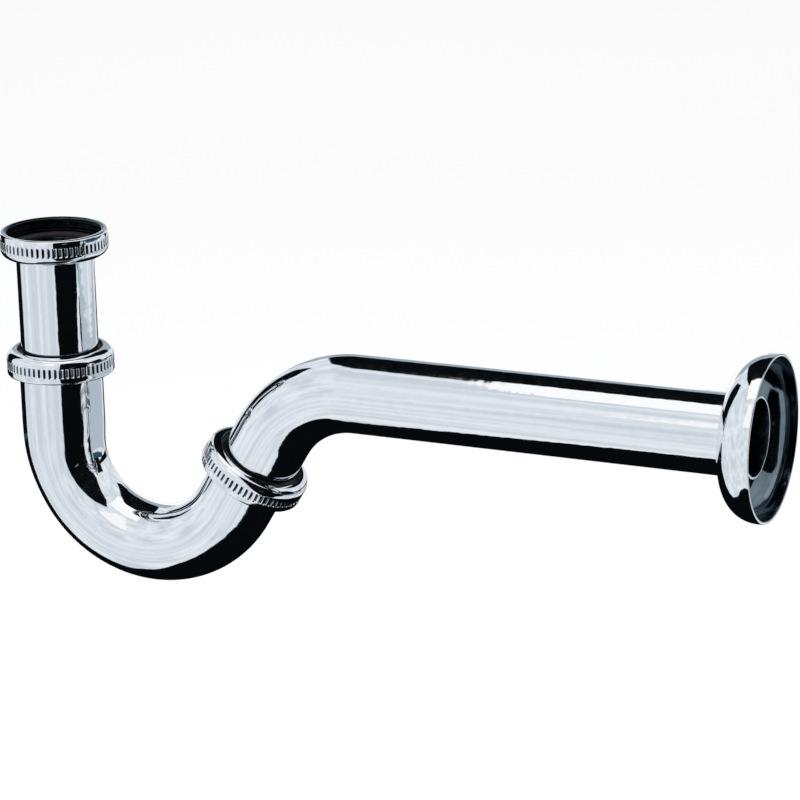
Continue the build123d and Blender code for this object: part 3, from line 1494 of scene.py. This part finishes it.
@dataclass
class WallRosette:
    """Spun bell that hides the hole in the wall, with the rubber ring that grips the pipe.

    Attributes:
        route: Path of the trap.
        radius: Outer radius of its rim.
        neck_radius: Radius of its bore.
        depth: Depth of the bell.
        rounding: Radius of its shoulder.
        sheet: Thickness of its sheet.
        hem: Width of the hem at its rim.
        neck: Length of its turned-in neck.
        past_pipe: How far its mouth stands past the pipe's end.
        grip_length: Length of the rubber ring.
        grip_bore: Radius of the ring's bore.
        grip_gap: Gap between ring and neck.
        columns: Number of faces round it.
    """

    route: Route
    radius: float = 32.6
    neck_radius: float = 16.8
    depth: float = 15.8
    rounding: float = 13.0
    sheet: float = 0.6
    hem: float = 1.2
    neck: float = 3.2
    past_pipe: float = 6.3
    grip_length: float = 2.6
    grip_bore: float = 16.06
    grip_gap: float = 0.06
    columns: int = 180

    @property
    def seat(self) -> Seat:
        """Seat at the rosette's mouth, its Z axis towards the wall."""
        to_wall = Vector((1.0, 0.0, 0.0))
        return Seat(self.route.run_end + to_wall * (self.past_pipe * MM), to_wall)

    def profile(self) -> Profile:
        """Profile of the bell: round shoulder, with a hem at its rim and a turned-in neck."""
        centre = (self.radius - self.rounding, self.rounding - self.depth)
        outer = arc(centre, self.rounding, 0.0, -90.0, 24)
        inner = arc(centre, self.rounding - self.sheet, -90.0, 0.0, 24)
        hem_in = self.radius - self.hem
        rim = [
            (hem_in + 0.45, -self.hem),
            (hem_in, -self.hem + 0.25),
            (hem_in, -0.25),
            (hem_in + 0.25, 0.0),
            (self.radius - 0.3, 0.0),
            (self.radius - 0.09, -0.09),
            (self.radius, -0.3),
        ]
        behind = self.neck_radius + self.sheet
        neck = [
            (self.neck_radius + 0.55, -self.depth + 0.1),
            (self.neck_radius + 0.15, -self.depth + 0.4),
            (self.neck_radius, -self.depth + 0.9),
            (self.neck_radius, -self.depth + self.neck),
            (behind, -self.depth + self.neck),
            (behind, -self.depth + 1.3),
            (behind + 0.3, -self.depth + self.sheet),
        ]
        return outer + neck + inner + rim

    def is_inside(self, radius: float, middle: Vector, outwards: float) -> bool:
        """Whether a face lines the hollow of the bell, which takes painted shade.

        Args:
            radius: Radius of the face's middle, in metres.
            middle: Its middle, in metres.
            outwards: How far its normal points away from the axis.

        Returns:
            True inside the bell.
        """
        facing_wall = abs(outwards) < 0.3 and radius > (self.neck_radius + self.sheet) * MM
        floor = facing_wall and abs(middle.z / MM + self.depth - self.sheet) < 0.2
        return outwards < -0.2 or floor

    def build(self, palette: Palette) -> None:
        """Builds and dresses the rosette and its grip ring."""
        bell = spin_profile("wall_rosette_spun", self.profile(), self.columns)
        dress(bell, palette.spun)
        # The hollow of the bell takes the darker plate: painted shade inside it.
        dress_faces(bell, palette.bell, self.is_inside)
        set_down(bell, self.seat)
        hand_over(bell, "rosette", "wall_rosette")
        low = -self.depth + self.sheet / 2
        grip = washer(
            self.grip_bore, self.neck_radius - self.grip_gap, low, low + self.grip_length
        )
        TurnedPiece(
            "rosette_grip", "rosette_grip_ring", Finish.RUBBER, grip, self.seat, 0.2
        ).build(palette)


# ---------------------------------------------------------------------------------------
# Studio

BLACK = (0.002, 0.003, 0.004)
TEAL = (0.02, 0.075, 0.12)
SLATE = (0.12, 0.17, 0.21)
MIST = (0.36, 0.42, 0.48)
WHITE = (1.0, 1.0, 1.0)
RIM_BEHIND = 0.04
RIM_WIDER = 0.022


def aim(bearing: float, height: float) -> Vector:
    """Direction of a bearing and height.

    Args:
        bearing: Bearing in degrees. 0 is straight out from the front of the trap and 90 is
            towards the wall.
        height: Height above level in degrees.

    Returns:
        The direction.
    """
    turn = math.radians(bearing)
    lift = math.radians(height)
    level = math.cos(lift)
    return Vector((math.sin(turn) * level, -math.cos(turn) * level, math.sin(lift)))


@dataclass(frozen=True)
class StudioCard:
    """A flat card that stands far off and is seen only in the chrome.

    Attributes:
        name: Name of the card.
        facing: Bearing and height of the direction it stands in, in degrees.
        corners: Bearings and heights of its corners.
        colour: Its colour.
        glow: Strength of its light.
        distance: How far off it stands.
        grow: How much wider each corner is set, as a share of its distance.
    """

    name: str
    facing: tuple[float, float]
    corners: tuple[tuple[float, float], ...]
    colour: Triple = BLACK
    glow: float = 1.0
    distance: float = 3.0
    grow: float = 0.0

    def rim(self) -> "StudioCard":
        """A slightly wider, tinted card just behind this one, for a soft tinted edge."""
        return replace(
            self,
            name=f"{self.name}_rim",
            colour=TEAL,
            distance=self.distance + RIM_BEHIND,
            grow=RIM_WIDER,
        )

    def build(self, middle: Vector) -> None:
        """Draws the card from corner to corner and fills it.

        Args:
            middle: Middle of the trap.
        """
        face = aim(*self.facing)
        rays = [aim(*corner) for corner in self.corners]
        places = [ray * (self.distance / ray.dot(face)) for ray in rays]
        heart = sum(places, Vector()) / len(places)
        if self.grow:
            wider = self.grow * self.distance
            places = [place + (place - heart).normalized() * wider for place in places]
        steps = [there - here for here, there in zip(places, places[1:])]
        card = draw_line(self.name, middle + places[0], steps)
        bpy.ops.mesh.select_all(action="SELECT")
        bpy.ops.mesh.edge_face_add()
        bpy.ops.object.mode_set(mode="OBJECT")
        card.data.materials.append(self.finish())
        card.visible_camera = False
        card.visible_diffuse = False
        card.visible_shadow = False
        card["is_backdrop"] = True

    def finish(self) -> Material:
        """Plain light or dark finish of the card."""
        material = bpy.data.materials.new(self.name)
        material.use_nodes = True
        tree = material.node_tree
        tree.nodes.remove(tree.nodes["Principled BSDF"])
        glow = tree.nodes.new("ShaderNodeEmission")
        glow.inputs["Color"].default_value = (*self.colour, 1.0)
        glow.inputs["Strength"].default_value = self.glow
        tree.links.new(glow.outputs["Emission"], tree.nodes["Material Output"].inputs["Surface"])
        return material


CARDS = (
    StudioCard(
        "right_flag",
        (56, 5),
        (
            (27, 52), (55, 57), (90, 30), (100, -5), (97, -18),
            (78, -30), (70, -48), (33, -48), (25, -18),
        ),
    ),
    StudioCard(
        "right_gap", (56, 17), ((44, -5), (55, -5), (55, -10), (44, -10)), SLATE, distance=2.8
    ),
    StudioCard(
        "black_table",
        (0, -90),
        (
            (-90, -56), (-55, -61), (-30, -55), (-8, -52), (20, -52), (60, -51), (100, -50),
            (140, -42), (175, -34), (-175, -15), (-150, -12), (-99, -12), (-97, -24), (-95, -47),
        ),
        distance=2.0,
    ),
    StudioCard(
        "back_flag",
        (180, 55),
        (
            (-145, 24), (-120, 52), (-100, 66), (-95, 80),
            (150, 78), (152, 60), (160, 30), (175, 20),
        ),
    ),
    StudioCard(
        "left_strip",
        (-108, 12),
        ((-119, -18), (-97, -18), (-95, 10), (-97, 36), (-110, 42), (-121, 26)),
    ),
    StudioCard(
        "left_white", (-150, -3), ((-165, -12), (-135, -12), (-135, 7), (-165, 7)), WHITE, 1.1, 2.9
    ),
    StudioCard(
        "left_mist", (-155, 16), ((-178, 8), (-136, 8), (-136, 25), (-178, 25)), MIST, 1.0, 2.95
    ),
    StudioCard(
        "right_mist", (125, -17), ((99, -22), (170, -20), (170, -13), (99, -13)), MIST, 1.25, 3.15
    ),
    StudioCard(
        "front_white", (-5, 45), ((-20, 30), (10, 30), (8, 60), (-18, 60)), WHITE, 1.0, 2.9
    ),
    StudioCard(
        "top_white", (0, 90), ((45, 62), (135, 62), (-135, 62), (-45, 62)), WHITE, 1.05, 3.2
    ),
    StudioCard("wall_flag", (112, 10), ((93, -3), (128, -3), (126, 22), (95, 24))),
    StudioCard(
        "wall_tint", (120, -8), ((93, -10.5), (150, -10), (150, -3), (93, -3)), TEAL, 1.0, 3.05
    ),
    StudioCard(
        "wall_strip", (142, 0), ((105, 14), (105, 9.5), (178, -14), (178, -9.5)), distance=2.9
    ),
)


@dataclass
class Studio:
    """Pale room with soft light, cards that draw the lines in the chrome, and the camera.

    Attributes:
        middle: Middle of the trap.
        lowest: Height of its lowest point.
        haze: Darker tone of the room in the chrome.
        bright: Lighter tone of the room in the chrome.
        cloud_scale: Fineness of the tones.
        floor_drop: How far the floor lies under the trap.
        floor_size: Length of the floor's sides.
        lamp_offset: Place of the lamp from the middle.
        lamp_size: Width of the lamp.
        lamp_energy: Power of the lamp, in watts.
        lens: Focal length, in millimetres.
        bearing: Bearing of the camera, in degrees.
        height: Height of the camera above level, in degrees.
        roll: Roll of the camera, in degrees.
        distance: Distance of the camera.
        aim_offset: Point that the camera looks at, from the middle.
    """

    middle: Vector
    lowest: float
    haze: Triple = (0.64, 0.695, 0.755)
    bright: Triple = (0.88, 0.915, 0.95)
    cloud_scale: float = 5.0
    floor_drop: float = 0.26
    floor_size: float = 14.0
    lamp_offset: Triple = (-0.2, -0.5, 1.8)
    lamp_size: float = 1.6
    lamp_energy: float = 6.0
    lens: float = 143.0
    bearing: float = 23.96
    height: float = 17.34
    roll: float = -1.24
    distance: float = 1.2612
    aim_offset: Triple = (0.0109, 0.0, 0.0161)

    def build_cards(self) -> None:
        """Builds the cards, each black one with its tinted rim."""
        for card in CARDS:
            card.build(self.middle)
            if card.colour == BLACK:
                card.rim().build(self.middle)

    def build_floor(self) -> None:
        """Builds the plain pale floor."""
        start_clean()
        place = (self.middle.x, self.middle.y, self.lowest - self.floor_drop)
        bpy.ops.mesh.primitive_plane_add(size=self.floor_size, location=place)
        floor = bpy.context.object
        floor.name = "studio_floor"
        board = NodeBoard("pale_floor")
        patch = board.noise(board.place(), 0.9, 3.0)
        board.tint(patch, (0.92, 0.925, 0.93), (0.95, 0.95, 0.955))
        board.shader.inputs["Roughness"].default_value = 0.9
        board.shader.inputs["Specular IOR Level"].default_value = 0.0
        floor.data.materials.append(board.material)
        floor.visible_glossy = False
        floor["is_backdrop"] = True

    def build_room(self) -> None:
        """Sets the pale room: near white to the eye, a little blue in the chrome."""
        world = bpy.data.worlds.new("pale_room")
        bpy.context.scene.world = world
        world.use_nodes = True
        tree = world.node_tree
        plain = tree.nodes["Background"]
        plain.inputs["Color"].default_value = (1.0, 1.0, 1.0, 1.0)
        plain.inputs["Strength"].default_value = 1.0
        tinted = tree.nodes.new("ShaderNodeBackground")
        tinted.inputs["Strength"].default_value = 1.0
        direction = tree.nodes.new("ShaderNodeTexCoord")
        cloud = tree.nodes.new("ShaderNodeTexNoise")
        cloud.inputs["Scale"].default_value = self.cloud_scale
        cloud.inputs["Detail"].default_value = 4.0
        ramp = tree.nodes.new("ShaderNodeValToRGB")
        ramp.color_ramp.elements[0].position = 0.38
        ramp.color_ramp.elements[0].color = (*self.haze, 1.0)
        ramp.color_ramp.elements[1].position = 0.68
        ramp.color_ramp.elements[1].color = (*self.bright, 1.0)
        tree.links.new(direction.outputs["Generated"], cloud.inputs["Vector"])
        tree.links.new(cloud.outputs["Fac"], ramp.inputs["Fac"])
        tree.links.new(ramp.outputs["Color"], tinted.inputs["Color"])
        path = tree.nodes.new("ShaderNodeLightPath")
        mix = tree.nodes.new("ShaderNodeMixShader")
        tree.links.new(path.outputs["Is Glossy Ray"], mix.inputs["Fac"])
        tree.links.new(plain.outputs["Background"], mix.inputs[1])
        tree.links.new(tinted.outputs["Background"], mix.inputs[2])
        tree.links.new(mix.outputs["Shader"], tree.nodes["World Output"].inputs["Surface"])

    def build_lamp(self) -> None:
        """Hangs one large soft lamp over the trap."""
        place = self.middle + Vector(self.lamp_offset)
        bpy.ops.object.light_add(type="AREA", location=place)
        lamp = bpy.context.object
        lamp.name = "soft_overhead"
        lamp.data.shape = "DISK"
        lamp.data.size = self.lamp_size
        lamp.data.energy = self.lamp_energy
        lamp.visible_glossy = False
        lamp.rotation_euler = (self.middle - place).to_track_quat("-Z", "Y").to_euler()

    def build_camera(self) -> None:
        """Places the camera in front of the trap, a little above it and to the right."""
        back = aim(self.bearing, self.height)
        turn = math.radians(self.bearing)
        right = Vector((math.cos(turn), math.sin(turn), 0.0))
        up = back.cross(right)
        roll = math.radians(self.roll)
        rolled_right = right * math.cos(roll) + up * math.sin(roll)
        rolled_up = up * math.cos(roll) - right * math.sin(roll)
        matrix = Matrix((rolled_right, rolled_up, back)).transposed().to_4x4()
        matrix.translation = self.middle + Vector(self.aim_offset) + back * self.distance
        start_clean()
        bpy.ops.object.camera_add()
        camera = bpy.context.object
        camera.name = "studio_camera"
        camera.data.lens = self.lens
        camera.data.sensor_width = 36.0
        camera.data.clip_start = 0.05
        camera.data.clip_end = 60.0
        camera.matrix_world = matrix
        bpy.context.scene.camera = camera

    def build(self) -> None:
        """Builds the room, the cards, the floor, the lamp and the camera."""
        self.build_room()
        self.build_cards()
        self.build_floor()
        self.build_lamp()
        self.build_camera()
        view = bpy.context.scene.view_settings
        view.view_transform = "Standard"
        view.look = "None"
        LOG.info("studio ready")


# ---------------------------------------------------------------------------------------
# The whole trap

FULL_THREAD_CREST = 19.476
CLEAR_THREAD_CREST = 20.25


def build_trap() -> None:
    """Builds every joint and tube in order."""
    route = Route()
    nut = UnionNut()
    palette = Palette()
    full_nut = nut.build_blank(FULL_THREAD_CREST, palette)
    InletJoint(nut).build(full_nut, palette)
    bpy.data.objects.remove(full_nut)
    clear_nut = nut.build_blank(CLEAR_THREAD_CREST, palette)
    middle = MiddleJoint(nut)
    middle.build(clear_nut, palette)
    lower = LowerJoint(nut, route=route)
    UBend(route, middle.seat_low, lower.leg_end).build(palette)
    lower.build(clear_nut, palette)
    bpy.data.objects.remove(clear_nut)
    OutletTube(route, lower.flange_low).build(palette)
    WallRosette(route).build(palette)


def main() -> None:
    """Builds the trap, then the studio round it, placed from the bounds of the CAD parts."""
    logging.basicConfig(level=logging.INFO, format="%(name)s: %(message)s")
    cad_box = [list(corner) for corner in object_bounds()]
    build_trap()
    low, high = (Vector(corner) for corner in cad_box)
    Studio((low + high) / 2, low.z).build()


if __name__ == "__main__":
    main()
